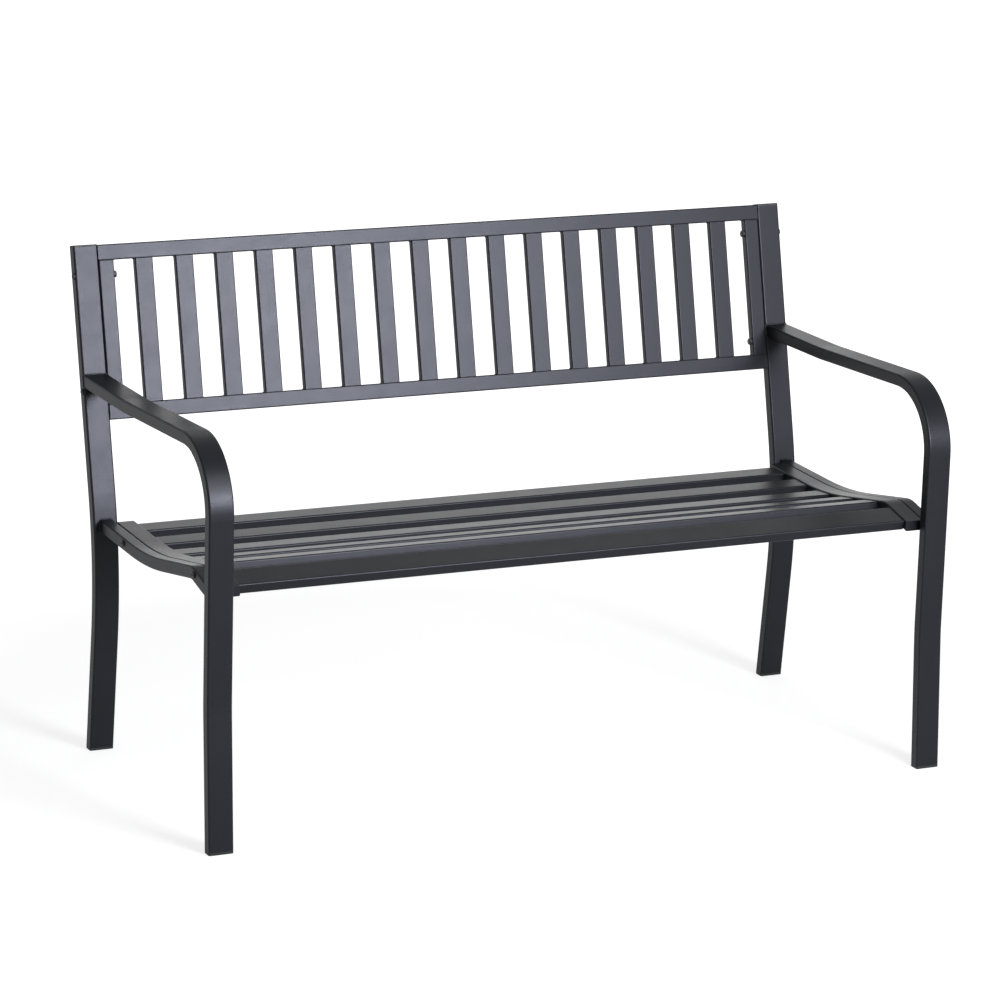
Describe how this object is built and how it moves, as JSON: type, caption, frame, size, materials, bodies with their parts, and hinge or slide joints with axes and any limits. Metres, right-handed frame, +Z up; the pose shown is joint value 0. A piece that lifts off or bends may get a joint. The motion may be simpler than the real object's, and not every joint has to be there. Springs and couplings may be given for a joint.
{
  "type": "garden bench",
  "caption": "Free-standing steel garden bench with bent tube side frames, slatted backrest, flat slatted seat and bolted panels.",
  "frame": {"origin": "on the ground under the middle of the bench's bounding box", "axes": "+X along the bench, to the right seen from the front; -Y towards the front; +Z up"},
  "size_m": [1.2574, 0.6414, 0.8064],
  "materials": {
    "powder_coat": "semi-gloss black powder coat",
    "foot_plastic": "matt black",
    "bolt_black": "black coated bolt",
    "nut_dark": "dark coated nut and washer",
    "plain_steel": "plain"
  },
  "bodies": {
    "root": {"back_bolts": "bolt_black", "back_bottom_rail": "powder_coat", "back_nuts": "nut_dark", "back_slat_01": "powder_coat", "back_slat_02": "powder_coat", "back_slat_03": "powder_coat", "back_slat_04": "powder_coat", "back_slat_05": "powder_coat", "back_slat_06": "powder_coat", "back_slat_07": "powder_coat", "back_slat_08": "powder_coat", "back_slat_09": "powder_coat", "back_slat_10": "powder_coat", "back_slat_11": "powder_coat", "back_slat_12": "powder_coat", "back_slat_13": "powder_coat", "back_slat_14": "powder_coat", "back_slat_15": "powder_coat", "back_slat_16": "powder_coat", "back_top_rail": "powder_coat", "back_washers": "nut_dark", "front_slat": "powder_coat", "left_arm_leg": "powder_coat", "left_back_stile": "powder_coat", "left_end_bar": "powder_coat", "left_front_foot": "foot_plastic", "left_post_cap": "foot_plastic", "left_rear_foot": "foot_plastic", "left_rear_post": "powder_coat", "left_side_rail": "powder_coat", "right_arm_leg": "powder_coat", "right_back_stile": "powder_coat", "right_end_bar": "powder_coat", "right_front_foot": "foot_plastic", "right_post_cap": "foot_plastic", "right_rear_foot": "foot_plastic", "right_rear_post": "powder_coat", "right_side_rail": "powder_coat", "seat_bolts": "bolt_black", "seat_nuts": "plain_steel", "seat_slat_1": "powder_coat", "seat_slat_2": "powder_coat", "seat_slat_3": "powder_coat", "seat_slat_4": "powder_coat", "seat_slat_5": "powder_coat"}
  },
  "joints": []
}
